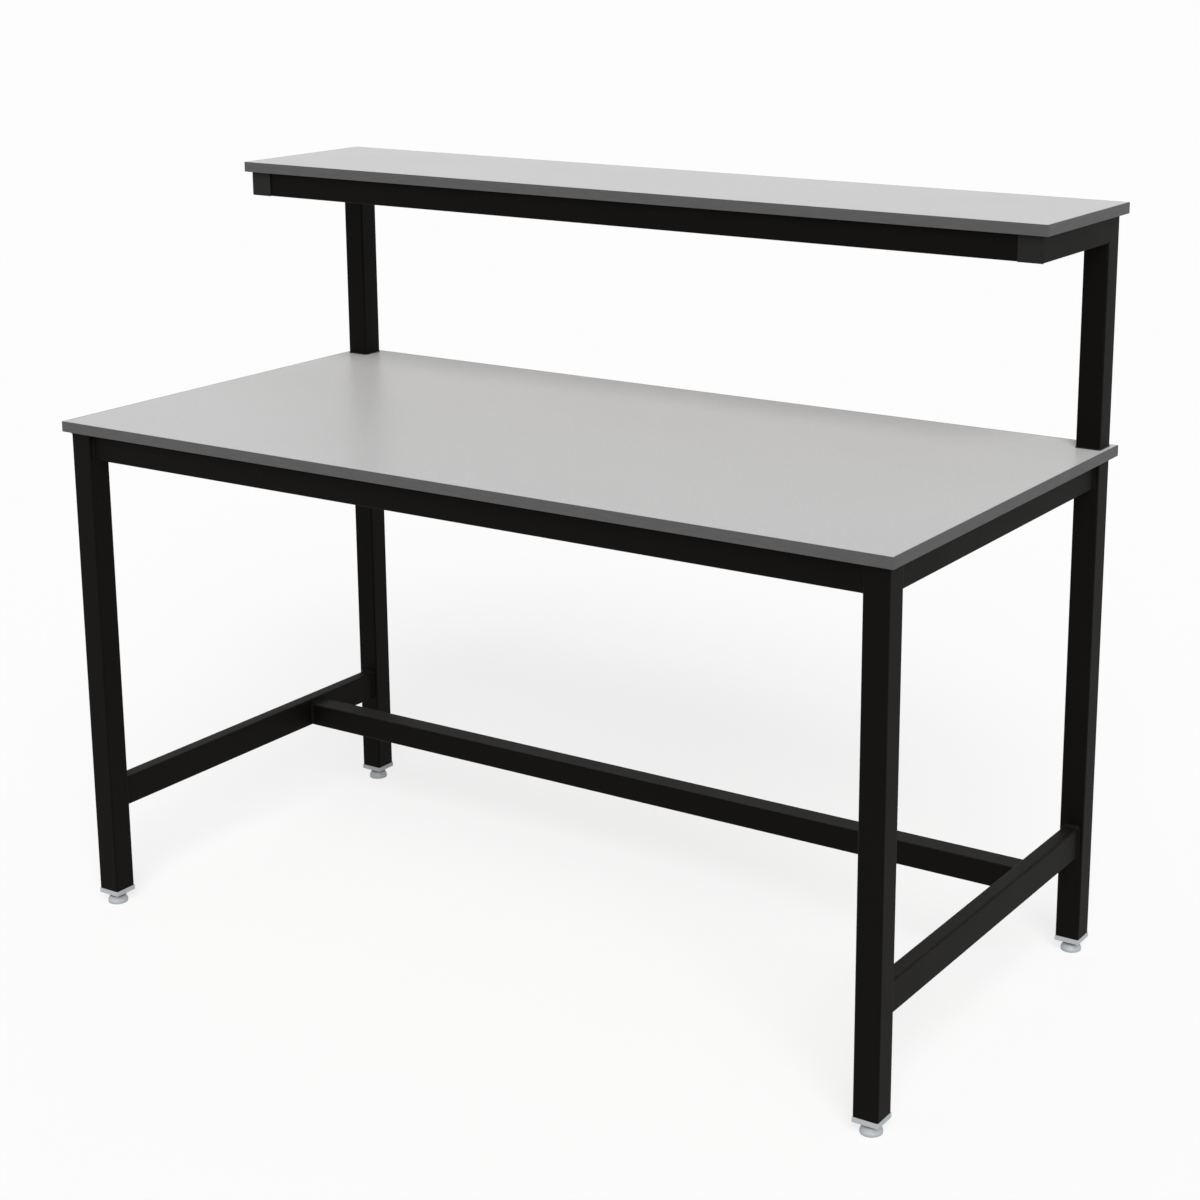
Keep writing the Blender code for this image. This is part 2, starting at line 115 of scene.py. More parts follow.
# Beads of weld, and the dark beads of painted shade round the uprights: how far they reach into the metal,
# their steps along a seam and round a corner, the facets and the hollow of their face, and the leg's share at
# the first points of an open end
BEAD_SINK = 0.0003
BEAD_STEP = 0.0008
BEAD_CORNER_STEPS = 5
BEAD_FACETS = 5
BEAD_HOLLOW = 0.45
BEAD_ENDS = (0.45, 0.75, 0.93, 1.0)
# A weld's ripples: their height as a share of its leg, and how far they lag in the middle of its face
RIPPLE_HEIGHT = 0.05
RIPPLE_LAG = 0.75
# Sides of a rail that a weld follows, in quarter turns: 0 and 2 are the sides, 1 is the top, 3 is the
# underside, and 4 is the first side again
ROUND = (0, 1, 2, 3)
OVER = (0, 1, 2)
UNDER = (2, 3, 4)
BELOW = (3,)
BEHIND = (0,)
# Welds that are ground flush: how far they lie below the tube's face, how deep they go and how far they lap
FLUSH_INSET = 0.00005
FLUSH_DEPTH = 0.0035
FLUSH_LAP = 0.0006

# A foot pad: radius of its edges, height of its rim, the bend from the rim into the shoulder, the shoulder's
# slope and how far in it ends, and the radius and depth of the socket for the stud
PAD_EDGE = 0.0016
PAD_RIM = 0.0038
PAD_BEND = 0.004
PAD_SLOPE = math.radians(23.3)
PAD_SHOULDER = 0.0043
PAD_SOCKET = 0.0054
PAD_SOCKET_DEPTH = 0.005

# The heights of the earth stud's nut on the rail, its washer and its second nut, and the washer's radius as a
# share of the nuts' width across the flats
EARTH_NUT = 0.005
EARTH_WASHER = 0.0012
EARTH_SECOND_NUT = 0.004
WASHER_REACH = 0.58

# The floor's radius and how far it lies under the feet, and the width of the camera's sensor in millimetres
FLOOR_RADIUS = 60.0
FLOOR_DROP = 0.0003
SENSOR_WIDTH = 36.0


class Thread(NamedTuple):
    """A right-hand thread: the radius of its crests, its pitch and its depth."""

    radius: float
    pitch: float
    depth: float


class Screw(NamedTuple):
    """A screw's thread, its tip's radius, and the lengths without a thread at its tip and under its head.

    Then the heights of its head and of the head's rim, the radius of the flat on top as a share of the
    head's, and the depth of the recess.
    """

    thread: Thread
    tip: float
    taper: float
    neck: float
    head: float
    rim: float
    flat: float
    recess: float


class SeamPoint(NamedTuple):
    """A place on a seam, the direction out of the tube there, and the leg of the bead."""

    place: Vector
    outward: Vector
    leg: float


BOARD_SCREW = Screw(
    Thread(radius=0.0025, pitch=0.0022, depth=0.0007),
    tip=0.0004, taper=0.004, neck=0.0015, head=0.0035, rim=0.0008, flat=0.66, recess=0.0021,
)
LOCK_SCREW = Screw(
    Thread(radius=0.003, pitch=0.001, depth=0.0006),
    tip=0.0022, taper=0.0006, neck=0.0004, head=0.0033, rim=0.0007, flat=0.50, recess=0.0019,
)
EARTH_THREAD = Thread(radius=0.003, pitch=0.001, depth=0.0006)


def colour(name, words, default):
    """A colour that a user may change."""
    return FloatVectorProperty(
        name=name, description=words, subtype="COLOR", size=3, min=0.0, max=1.0, default=default
    )


def length(name, words, default):
    """A length that a user may change."""
    return FloatProperty(
        name=name, description=words, unit="LENGTH", subtype="DISTANCE", min=0.0, default=default
    )


def share(name, words, default):
    """A part of one that a user may change."""
    return FloatProperty(name=name, description=words, subtype="FACTOR", min=0.0, max=1.0, default=default)


def angle(name, words, degrees):
    """An angle that a user may change."""
    return FloatProperty(name=name, description=words, subtype="ANGLE", default=math.radians(degrees))


class BoardSettings(PropertyGroup):
    """Colours and grain sizes of the worktop and the shelf."""

    laminate: colour("Laminate", "Colour of the anti-static laminate", (0.595, 0.595, 0.595))
    speckle: length("Speckle", "Size of the fine print in the laminate", 0.0016)
    gloss: share("Laminate roughness", "Roughness of the laminate", 0.28)
    band: colour("Edge band", "Colour of the bands on the boards' edges", (0.098, 0.098, 0.098))
    chip: length("Chips", "Size of the wood chips in the boards", 0.0042)
    wood: colour("Chipboard", "Middle colour of the bare underside", (0.47, 0.355, 0.215))


class FrameSettings(PropertyGroup):
    """Powder coat and welds of the steel frame, and the dark beads of painted shade round the uprights."""

    coat: colour("Powder coat", "Colour of the frame's powder coat", (0.0028, 0.0023, 0.0016))
    roughness: share("Coat roughness", "Roughness of the powder coat", 0.54)
    peel: length("Orange peel", "Width of the small waves in the powder coat", 0.0017)
    flat_weld: length("Weld above and below", "Leg of the welds over and under a rail", 0.0050)
    side_weld: length("Weld at the sides", "Leg of the welds beside a rail", 0.0036)
    ripple: length("Weld ripple", "Distance from one ripple of a weld to the next", 0.0024)
    # A dark plastic bead round each upright's foot on the worktop, which paints the contact shade there
    shade_bead: length("Shade_bead", "Leg of the dark shade_bead_plastic round the uprights", 0.0016)


class FootSettings(PropertyGroup):
    """Plastic and steel of the levelling feet."""

    plastic: colour("Light plastic", "Colour of the inserts and foot pads", (0.44, 0.465, 0.48))
    stud: length("Stud", "Radius of the studs", 0.005)
    pitch: length("Thread pitch", "Pitch of the studs' thread", 0.0015)
    depth: length("Thread depth", "Depth of the studs' thread", 0.0009)
    hexagon: length("Hexagon", "Width across the flats of a stud's hexagon", 0.014)
    hexagon_height: length("Hexagon height", "Height of a stud's hexagon", 0.003)


class FastenerSettings(PropertyGroup):
    """Colours of the screws, the earth stud and the arms' end caps."""

    zinc: colour("Zinc plate", "Colour of the plated screws and studs", (0.62, 0.63, 0.65))
    brass: colour("Brass", "Colour of the earth stud", (0.74, 0.53, 0.24))
    cap: colour("Dark plastic", "Colour of the arms' end caps", (0.0125, 0.0125, 0.0117))


class StageSettings(PropertyGroup):
    """Camera, floor and light."""

    azimuth: angle("Azimuth", "Turn of the camera about Z", 32.37)
    elevation: angle("Elevation", "Tilt of the camera", 13.94)
    place: FloatVectorProperty(
        name="Place", description="Where the camera stands", subtype="TRANSLATION", unit="LENGTH",
        default=(2.0684, -2.9694, 1.6562),
    )
    lens: FloatProperty(name="Lens", description="Focal length", unit="CAMERA", min=1.0, default=70.70)
    shift: FloatVectorProperty(
        name="Shift", description="Shift of the picture in parts of its width", size=2,
        default=(-0.0652, -0.10),
    )
    fill: share("Fill", "Level of the even light from all round", 0.42)
    sun: FloatProperty(name="Sun", description="Strength of the soft main light", min=0.0, default=2.5)
    sun_tilt: angle("Sun tilt", "How far the main light leans from straight down", 50)
    sun_turn: angle("Sun turn", "Turn of the main light about Z", 36)
    sun_spread: angle("Sun spread", "Width of the main light as the bench sees it", 34)
    floor: colour("Floor", "Colour of the floor", (1.0, 1.0, 1.0))
    floor_body: share("Floor body", "Part of the floor that takes a shadow; the rest is clear", 0.25)


# Shader maths and nodes

class Channel:
    """A socket of a node tree, with the arithmetic that the finishes use on it."""

    def __init__(self, nodes, socket):
        self.nodes = nodes
        self.socket = socket

    def maths(self, operation, first, second):
        """The result of a Math node."""
        return self.nodes.add("ShaderNodeMath", {"operation": operation}, {0: first, 1: second})

    def __add__(self, other):
        return self.maths("ADD", self, other)

    def __radd__(self, other):
        return self.maths("ADD", other, self)

    def __sub__(self, other):
        return self.maths("SUBTRACT", self, other)

    def __rsub__(self, other):
        return self.maths("SUBTRACT", other, self)

    def __mul__(self, other):
        return self.maths("MULTIPLY", self, other)

    def __rmul__(self, other):
        return self.maths("MULTIPLY", other, self)

    def __lt__(self, other):
        return self.maths("LESS_THAN", self, other)

    def __gt__(self, other):
        return self.maths("GREATER_THAN", self, other)


class Nodes:
    """Writes a node tree. Each node comes from its type, its settings and its sockets' values or links."""

    def __init__(self, tree):
        self.tree = tree
        tree.nodes.clear()

    def add(self, kind, settings=None, sockets=None, output=0):
        """A new node's output. The settings come first, because some of them change the sockets."""
        node = self.tree.nodes.new(kind)
        for name, value in (settings or {}).items():
            if name == "stops":
                self.set_stops(node.color_ramp.elements, value)
            else:
                setattr(node, name, value)
        for key, value in (sockets or {}).items():
            self.plug(node.inputs[key], value)
        if node.outputs:
            return Channel(self, node.outputs[output])
        return None

    def set_stops(self, elements, stops):
        """Sets the positions and colours of a ramp."""
        while len(elements) < len(stops):
            elements.new(1.0)
        for element, (position, tint) in zip(elements, stops):
            element.position = position
            element.color = (*tint, 1.0)

    def plug(self, socket, value):
        """Links a channel to a socket, or sets the socket's own value."""
        if isinstance(value, Channel):
            self.tree.links.new(value.socket, socket)
        elif socket.type == "RGBA":
            socket.default_value = (*value, 1.0)
        else:
            socket.default_value = value

    def place(self):
        """Where a point lies in the model."""
        return self.add("ShaderNodeTexCoord", output="Object")

    def stretched(self, place, scale):
        """A place scaled along each axis."""
        return self.add("ShaderNodeVectorMath", {"operation": "MULTIPLY"}, {0: place, 1: scale})

    def noise(self, place, size, detail):
        """Smooth noise whose waves have that size."""
        sockets = {"Vector": place, "Scale": 1.0 / size, "Detail": detail}
        return self.add("ShaderNodeTexNoise", {}, sockets, "Fac")

    def cells(self, place, size, output):
        """Cells of that size."""
        sockets = {"Vector": place, "Scale": 1.0 / size}
        return self.add("ShaderNodeTexVoronoi", {}, sockets, output)

    def cell_tones(self, place, size):
        """A tone of its own for each cell."""
        tint = self.cells(place, size, "Color")
        return self.add("ShaderNodeSeparateColor", {}, {"Color": tint}, "Red")

    def ramp(self, factor, stops):
        """A colour from a row of colours."""
        return self.add("ShaderNodeValToRGB", {"stops": stops}, {"Fac": factor}, "Color")

    def mix(self, factor, first, second):
        """A colour between two. The node's inputs 6 and 7 and its output 2 are the ones for colours."""
        return self.add("ShaderNodeMix", {"data_type": "RGBA"}, {0: factor, 6: first, 7: second}, 2)

    def upward(self):
        """How far a surface faces up."""
        normal = self.add("ShaderNodeNewGeometry", output="Normal")
        return self.add("ShaderNodeSeparateXYZ", {}, {"Vector": normal}, "Z")

    def bump(self, height, depth, strength):
        """A normal that follows a height."""
        return self.add("ShaderNodeBump", {}, {"Height": height, "Distance": depth, "Strength": strength})

    def shade(self, sockets):
        """The surface's shader, as the tree's result."""
        surface = self.add("ShaderNodeBsdfPrincipled", {}, sockets)
        self.add("ShaderNodeOutputMaterial", {}, {"Surface": surface})


def tinted(base, factor):
    """A colour made lighter or darker."""
    return tuple(min(1.0, part * factor) for part in base)


def contrast(noise, gain):
    """A noise spread about its middle."""
    return (noise - 0.5) * gain + 0.5


# Finishes

def laminate_finish(nodes, settings):
    """Light grey laminate: a fine print of specks, faint clouds and the small pearls of a pressed surface."""
    place = nodes.place()
    grain = nodes.noise(place, settings.speckle, detail=3.0)
    specks = nodes.cell_tones(place, settings.speckle * 0.8) > 0.94
    clouds = nodes.noise(place, size=0.22, detail=3.0)
    pearls = nodes.noise(place, size=0.0011, detail=1.0)
    waves = nodes.noise(place, size=0.006, detail=1.0)
    dull = tinted(settings.laminate, 0.955)
    bright = tinted(settings.laminate, 1.045)
    printed = nodes.mix(contrast(grain, 2.2), dull, bright)
    cloudy = nodes.mix(clouds * 0.16, printed, tinted(settings.laminate, 0.86))
    nodes.shade({
        "Base Color": nodes.mix(specks * 0.30, cloudy, tinted(settings.laminate, 0.62)),
        "Roughness": settings.gloss + clouds * 0.08 + pearls * 0.05,
        "Metallic": 0.06,
        "Normal": nodes.bump(waves * 3.0 + pearls + grain * 0.4, depth=0.00008, strength=0.6),
        "Specular IOR Level": 0.04,
    })


def band_finish(nodes, settings):
    """Dark grey plastic band with a fine pebbled face."""
    place = nodes.place()
    pebbles = nodes.cells(place, 0.0009, "Distance")
    streaks = nodes.noise(nodes.stretched(place, (0.15, 0.15, 1.0)), size=0.004, detail=3.0)
    clouds = nodes.noise(place, size=0.09, detail=3.0)
    streaked = nodes.mix(contrast(streaks, 1.8), tinted(settings.band, 0.90), tinted(settings.band, 1.10))
    nodes.shade({
        "Base Color": nodes.mix(clouds * 0.2, streaked, tinted(settings.band, 0.86)),
        "Roughness": 0.40 + clouds * 0.10 + pebbles * 0.12,
        "Normal": nodes.bump(pebbles, depth=0.00004, strength=0.5),
        "Specular IOR Level": 0.12,
    })


def chipboard_finish(nodes, settings):
    """Bare chipboard: long chips of several browns that lie two ways, with dust and fibres between them."""
    place = nodes.place()
    about_z = {"rotation_type": "Z_AXIS"}
    turned = nodes.add("ShaderNodeVectorRotate", about_z, {"Vector": place, "Angle": CHIP_SLANT})
    lengthways = nodes.stretched(place, (1.0, 3.0, 1.0))
    slanting = nodes.stretched(turned, (3.0, 1.0, 1.0))
    first = nodes.cell_tones(lengthways, settings.chip)
    second = nodes.cell_tones(slanting, settings.chip * 0.8)
    dust = nodes.cell_tones(place, settings.chip * 0.2)
    fibres = nodes.noise(nodes.stretched(turned, (1.0, 9.0, 1.0)), settings.chip, detail=3.0)
    over = nodes.noise(place, settings.chip * 0.9, detail=2.0) > 0.5
    chips = first * over + second * (1 - over)
    tone = chips * 0.5 + dust * 0.2 + fibres * 0.3
    stops = [
        (0.0, tinted(settings.wood, 0.62)),
        (0.4, tinted(settings.wood, 0.92)),
        (0.7, tinted(settings.wood, 1.10)),
        (1.0, tinted(settings.wood, 1.35)),
    ]
    nodes.shade({
        "Base Color": nodes.ramp(tone, stops),
        "Roughness": 0.72 + dust * 0.15,
        "Normal": nodes.bump(tone, depth=0.00012, strength=0.5),
        "Specular IOR Level": 0.25,
    })


def powder_coat_finish(nodes, settings):
    """Near-black powder coat: orange peel, fine grit, and dust with a painted highlight where it faces up."""
    place = nodes.place()
    peel = nodes.noise(place, settings.peel, detail=1.0)
    grit = nodes.noise(place, settings.peel * 0.35, detail=2.0)
    clouds = nodes.noise(place, size=0.12, detail=3.0)
    # Up-facing faces get a lighter tint: partly dust, partly painted light that makes the tops look lit from
    # above
    dust = (nodes.upward() > 0.6) * nodes.noise(place, size=0.020, detail=4.0)
    gritty = nodes.mix(contrast(grit, 3.0), tinted(settings.coat, 0.5), tinted(settings.coat, 1.4))
    # The up-facing tint: a trace of dust, and a painted highlight on the top faces
    dust_and_top_light_tint = tuple(part + 0.035 for part in settings.coat)
    nodes.shade({
        "Base Color": nodes.mix(dust * 0.25, gritty, dust_and_top_light_tint),
        "Roughness": settings.roughness - 0.04 + clouds * 0.08 + grit * 0.05,
        "Normal": nodes.bump(peel + grit * 0.35, depth=0.00025, strength=0.6),
        "Specular IOR Level": 0.06,
    })


def dark_plastic_finish(nodes, settings):
    """Dark moulded plastic with the fine grain of a spark-eroded mould."""
    place = nodes.place()
    grain = nodes.noise(place, size=0.0008, detail=2.0)
    clouds = nodes.noise(place, size=0.015, detail=2.0)
    nodes.shade({
        "Base Color": nodes.mix(contrast(grain, 2.0), tinted(settings.cap, 0.85), tinted(settings.cap, 1.15)),
        "Roughness": 0.46 + clouds * 0.08 + grain * 0.06,
        "Normal": nodes.bump(grain, depth=0.00006, strength=0.4),
        "Specular IOR Level": 0.12,
    })


def light_plastic_finish(nodes, settings):
    """Pale blue-grey moulded plastic, a little scuffed near the floor."""
    place = nodes.place()
    height = nodes.add("ShaderNodeSeparateXYZ", {}, {"Vector": place}, "Z")
    grain = nodes.noise(place, size=0.0010, detail=2.0)
    clouds = nodes.noise(place, size=0.012, detail=3.0)
    marks = nodes.noise(nodes.stretched(place, (1.0, 1.0, 4.0)), size=0.003, detail=4.0)
    scuffs = (height < 0.003) * marks
    cloudy = nodes.mix(clouds, tinted(settings.plastic, 0.94), tinted(settings.plastic, 1.06))
    nodes.shade({
        "Base Color": nodes.mix(scuffs * 0.45, cloudy, tinted(settings.plastic, 0.45)),
        "Roughness": 0.38 + clouds * 0.10 + scuffs * 0.15,
        "Normal": nodes.bump(grain, depth=0.00005, strength=0.35),
        "Specular IOR Level": 0.4,
    })


def metal_finish(nodes, tint, stain):
    """Metal with fine turning marks and a little tarnish, which keeps the stain's share of each colour."""
    place = nodes.place()
    clouds = nodes.noise(place, size=0.004, detail=3.0)
    marks = nodes.noise(nodes.stretched(place, (1.0, 1.0, 8.0)), size=0.0012, detail=2.0)
    tarnish = tuple(part * kept for part, kept in zip(tint, stain))
    nodes.shade({
        "Base Color": nodes.mix(contrast(clouds, 1.6), tint, tarnish),
        "Roughness": 0.24 + clouds * 0.14 + marks * 0.06,
        "Metallic": 1.0,
        "Normal": nodes.bump(marks, depth=0.00002, strength=0.4),
    })


def zinc_finish(nodes, settings):
    """Bright zinc plate with a faint blue cast."""
    metal_finish(nodes, settings.zinc, stain=(0.84, 0.87, 0.93))


def brass_finish(nodes, settings):
    """Brass with brown tarnish."""
    metal_finish(nodes, settings.brass, stain=(0.72, 0.66, 0.55))


def floor_finish(nodes, settings):
    """A pale floor, clear from below. From above it is partly clear, so that only a faint shadow shows."""
    grain = nodes.noise(nodes.place(), size=0.8, detail=3.0)
    tint = nodes.mix(grain, tinted(settings.floor, 0.98), settings.floor)
    pale = nodes.add("ShaderNodeBsdfDiffuse", {}, {"Color": tint})
    clear = nodes.add("ShaderNodeBsdfTransparent")
    from_above = 1 - nodes.add("ShaderNodeNewGeometry", output="Backfacing")
    surface = nodes.add("ShaderNodeMixShader", {}, {0: from_above * settings.floor_body, 1: clear, 2: pale})
    nodes.add("ShaderNodeOutputMaterial", {}, {"Surface": surface})


# Each finish's maker and the group of settings that it reads
FINISHES = {
    "laminate_finish": (laminate_finish, "bench_boards"),
    "edge_band_finish": (band_finish, "bench_boards"),
    "chipboard_finish": (chipboard_finish, "bench_boards"),
    "powder_coat_finish": (powder_coat_finish, "bench_frame"),
    "dark_plastic_finish": (dark_plastic_finish, "bench_fasteners"),
    "light_plastic_finish": (light_plastic_finish, "bench_feet"),
    "zinc_finish": (zinc_finish, "bench_fasteners"),
    "brass_finish": (brass_finish, "bench_fasteners"),
    "floor_finish": (floor_finish, "bench_stage"),
}


def finish(scene, name):
    """The finish of that name, made when it is first asked for."""
    if name in bpy.data.materials:
        return bpy.data.materials[name]
    make, group = FINISHES[name]
    material = bpy.data.materials.new(name)
    material.use_nodes = True
    make(Nodes(material.node_tree), getattr(scene, group))
    return material


# Pieces of the frame, and pieces that ride on it

def extent(node):
    """The size of a node's box."""
    low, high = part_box(node)
    return high - low


def middle(node):
    """The middle of a node's box."""
    low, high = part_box(node)
    return (low + high) / 2


def smooth_by_angle():
    """A modifier tree that joins the CAD's loose triangles and smooths the edges of its round corners."""
    name = "smooth_round_corners"
    if name in bpy.data.node_groups:
        return bpy.data.node_groups[name]
    group = bpy.data.node_groups.new(name, "GeometryNodeTree")
    group.is_modifier = True
    for direction in ("INPUT", "OUTPUT"):
        group.interface.new_socket("Geometry", in_out=direction, socket_type="NodeSocketGeometry")
    nodes = Nodes(group)
    given = nodes.add("NodeGroupInput")
    joined = nodes.add("GeometryNodeMergeByDistance", {}, {"Geometry": given, "Distance": JOIN_DISTANCE})
    plain = nodes.add("GeometryNodeRemoveAttribute", {}, {"Geometry": joined, "Name": "custom_normal"})
    faces = {"Geometry": plain, "Shade Smooth": True}
    smooth = nodes.add("GeometryNodeSetShadeSmooth", {"domain": "FACE"}, faces)
    bend = nodes.add("GeometryNodeInputMeshEdgeAngle", output="Unsigned Angle")
    sharp = nodes.add("FunctionNodeCompare", {"operation": "GREATER_THAN"}, {"A": bend, "B": SHARP_ANGLE})
    edges = {"Geometry": smooth, "Selection": sharp, "Shade Smooth": False}
    done = nodes.add("GeometryNodeSetShadeSmooth", {"domain": "EDGE"}, edges)
    nodes.add("NodeGroupOutput", {}, {"Geometry": done})
    return group


def dress(node, material):
    """Gives a CAD node its finish, and shades its round corners smooth while its flats stay flat."""
    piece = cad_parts[node]
    for material_slot in piece.material_slots:
        material_slot.material = material
    piece.modifiers.new("round_corners", "NODES").node_group = smooth_by_angle()
    even = piece.modifiers.new("flat_sides", "WEIGHTED_NORMAL")
    even.keep_sharp = True
    even.weight = LARGE_FACE_WEIGHT


def new_piece(name, shape, material, body):
    """An object of that shape, shaded smooth, that rides on a body of the frame."""
    mesh = bpy.data.meshes.new(name)
    shape.to_mesh(mesh)
    shape.free()
    mesh.materials.append(material)
    mesh.shade_smooth()
    mesh.set_sharp_from_angle(angle=SHARP_ANGLE)
    piece = bpy.data.objects.new(name, mesh)
    bpy.context.scene.collection.objects.link(piece)
    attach(piece, body)
    return piece


# Shapes made of rings of points

def skin(rings, closed=False):
    """Joins rings of points with faces. Its two ends are closed, or joined to each other."""
    made = bmesh.new()
    loops = [[made.verts.new(point) for point in points] for points in rings]
    pairs = list(zip(loops, loops[1:]))
    if closed:
        pairs.append((loops[-1], loops[0]))
    else:
        made.faces.new(loops[0])
        made.faces.new(loops[-1])
    for near, far in pairs:
        for index, point in enumerate(near):
            before = index - 1
            made.faces.new((near[before], point, far[index], far[before]))
    bmesh.ops.recalc_face_normals(made, faces=made.faces)
    return made


def placed(rings, matrix):
    """The rings moved to where the piece belongs."""
    return [[matrix @ point for point in points] for points in rings]


def standing(rings, node):
    """The rings moved over the middle of an upright node."""
    centre = middle(node)
    return placed(rings, Matrix.Translation((centre.x, centre.y, 0.0)))


def ring(radius, height):
    """Points round the Z axis. The radius and the height are numbers, or functions of the angle."""
    points = []
    for step in range(ROUND_POINTS):
        turn = math.tau * step / ROUND_POINTS
        reach = radius(turn) if callable(radius) else radius
        level = height(turn) if callable(height) else height
        points.append(Vector((reach * math.cos(turn), reach * math.sin(turn), level)))
    return points


def bend_rings(radius, height, size, start, end):
    """Rings that follow an arc of a profile, between two angles about the arc's centre."""
    rings = []
    for step in range(BEND_STEPS + 1):
        turn = start + (end - start) * step / BEND_STEPS
        rings.append(ring(radius + size * math.cos(turn), height + size * math.sin(turn)))
    return rings


def dome_rings(radius, flat, low, high):
    """A rounded head: a quarter of an ellipse from its rim to the flat on its top."""
    rings = []
    for step in range(BEND_STEPS + 1):
        turn = math.pi / 2 * step / BEND_STEPS
        rings.append(ring(flat + (radius - flat) * math.cos(turn), low + (high - low) * math.sin(turn)))
    return rings


def hexagon_outline(flats):
    """The radius of a hexagon at an angle."""
    sixth = math.tau / 6
    return lambda turn: flats / 2 / math.cos(turn % sixth - sixth / 2)


def cross_outline(size, shares):
    """The radius of a cross at an angle. The shares of the size are its bars' reach and half their width."""
    reach, half_width = (size * part for part in shares)

    def radius(turn):
        across = max(abs(math.cos(turn)), LEAST_DIVISOR)
        along = max(abs(math.sin(turn)), LEAST_DIVISOR)
        lying = min(reach / across, half_width / along)
        upright = min(reach / along, half_width / across)
        return max(lying, upright)

    return radius


def hexagon_rings(flats, low, high):
    """A hexagon whose corners are turned off at both ends."""
    outline = hexagon_outline(flats)
    turned = flats * HEXAGON_TURNED

    def drop(turn):
        return (outline(turn) - turned) * HEXAGON_SLOPE

    return [
        ring(turned, low),
        ring(outline, lambda turn: low + drop(turn)),
        ring(outline, lambda turn: high - drop(turn)),
        ring(turned, high),
    ]


def thread_reach(thread, level, fade, turn):
    """The thread's radius at a level and an angle: crests and roots with straight flanks between them."""
    phase = (level / thread.pitch - turn / math.tau) % 1.0
    wave = abs(2.0 * phase - 1.0)
    tooth = min(1.0, max(0.0, (wave - 0.5) * FLANK_SLOPE + 0.5))
    return thread.radius - thread.depth * (1.0 - tooth * fade)


def thread_rings(thread, low, high):
    """A right-hand thread that runs out at both ends."""
    count = round((high - low) / thread.pitch * THREAD_RINGS)
    rings = []
    for step in range(count + 1):
        level = low + (high - low) * step / count
        fade = min(1.0, (level - low) / thread.pitch, (high - level) / thread.pitch)
        rings.append(ring(partial(thread_reach, thread, level, fade), level))
    return rings


# Welds and sealant

def facing(turn):
    """The direction out of a tube after so many quarter turns."""
    return Vector((math.cos(turn * math.pi / 2), math.sin(turn * math.pi / 2)))


def seam_side(half, turn, leg):
    """Points along one straight side of a tube's outline."""
    reach = facing(turn) * half
    run = facing(turn + 1) * (half - Vector((TUBE_RADIUS, TUBE_RADIUS)))
    steps = round(2 * run.length / BEAD_STEP)
    return [SeamPoint(reach + run * (2 * step / steps - 1), facing(turn), leg) for step in range(steps + 1)]


def seam_corner(half, turn, leg, next_leg):
    """Points round the corner after a side, where the leg changes to the next side's."""
    centre = (facing(turn) + facing(turn + 1)) * (half - Vector((TUBE_RADIUS, TUBE_RADIUS)))
    points = []
    for step in range(1, BEAD_CORNER_STEPS):
        part = step / BEAD_CORNER_STEPS
        outward = facing(turn + part)
        points.append(SeamPoint(centre + outward * TUBE_RADIUS, outward, leg * (1 - part) + next_leg * part))
    return points


def seam(half, turns, side_leg, flat_leg):
    """Points along a tube's outline, on the sides that the turns name."""
    legs = (side_leg, flat_leg)
    points = []
    for turn in turns:
        leg, next_leg = legs[turn % 2], legs[1 - turn % 2]
        points += seam_side(half, turn, leg)
        if turns == ROUND or turn != turns[-1]:
            points += seam_corner(half, turn, leg, next_leg)
    return points


def bead_outline(leg, ripple=0.0, phase=0.0):
    """A bead's section: distances out from the tube and along it, with the tube and its neighbour behind."""
    outline = [(-BEAD_SINK, -BEAD_SINK), (-BEAD_SINK, leg)]
    for step in range(BEAD_FACETS + 1):
        part = step / BEAD_FACETS
        bend = part * math.pi / 2
        crown = 4 * part * (1 - part)
        swell = leg * ripple * crown * math.sin(phase + RIPPLE_LAG * crown)
        out = leg * (part * (1 - BEAD_HOLLOW) + (1 - math.cos(bend)) * BEAD_HOLLOW) + swell
        along = leg * ((1 - part) * (1 - BEAD_HOLLOW) + (1 - math.sin(bend)) * BEAD_HOLLOW) + swell
        outline.append((out, along))
    outline.append((leg, -BEAD_SINK))
    return outline


def sweep(points, outlines, origin, axes, closed):
    """The mesh of outlines that follow a seam. The axes are the seam's own two and the one along the tube."""
    across, upward, along = axes
    rings = []
    for point, outline in zip(points, outlines):
        base = origin + across * point.place.x + upward * point.place.y
        out = across * point.outward.x + upward * point.outward.y
        rings.append([base + out * away + along * forward for away, forward in outline])
    return skin(rings, closed)


def welded_joints():
    """Each rail with the post that it meets, the direction that it runs in, and its welded sides."""
    for end in ENDS:
        for side in SIDES:
            leg = f"leg_{end}_{side}"
            yield f"top_rail_{end}", leg, RIGHT, UNDER
            yield f"top_rail_{side}", leg, BACK, UNDER
            yield f"end_rail_{side}", leg, BACK, ROUND
    for side in SIDES:
        yield "stretcher", f"end_rail_{side}", RIGHT, OVER
        yield f"shelf_arm_{side}", f"upright_{side}", BACK, BELOW
        yield "shelf_rail_front", f"shelf_arm_{side}", RIGHT, BEHIND
        yield "shelf_rail_rear", f"upright_{side}", RIGHT, UNDER


def rail_weld(rail, post, run, turns, settings):
    """The rippled bead where the end of a rail meets a post. It tapers off where it ends."""
    across = BACK if run == RIGHT else RIGHT
    distance = (middle(post) - middle(rail)).dot(run)
    toward = math.copysign(1.0, distance)
    origin = middle(rail) + run * (distance - toward * extent(post).dot(run) / 2)
    half = Vector((extent(rail).dot(across), extent(rail).z)) / 2
    points = seam(half, turns, settings.side_weld, settings.flat_weld)
    closed = turns == ROUND
    full = len(BEAD_ENDS) - 1
    outlines = []
    for number, point in enumerate(points):
        from_end = full if closed else min(full, number, len(points) - 1 - number)
        phase = math.tau * number * BEAD_STEP / settings.ripple
        outlines.append(bead_outline(point.leg * BEAD_ENDS[from_end], RIPPLE_HEIGHT, phase))
    return sweep(points, outlines, origin, (across, UP, run * -toward), closed)


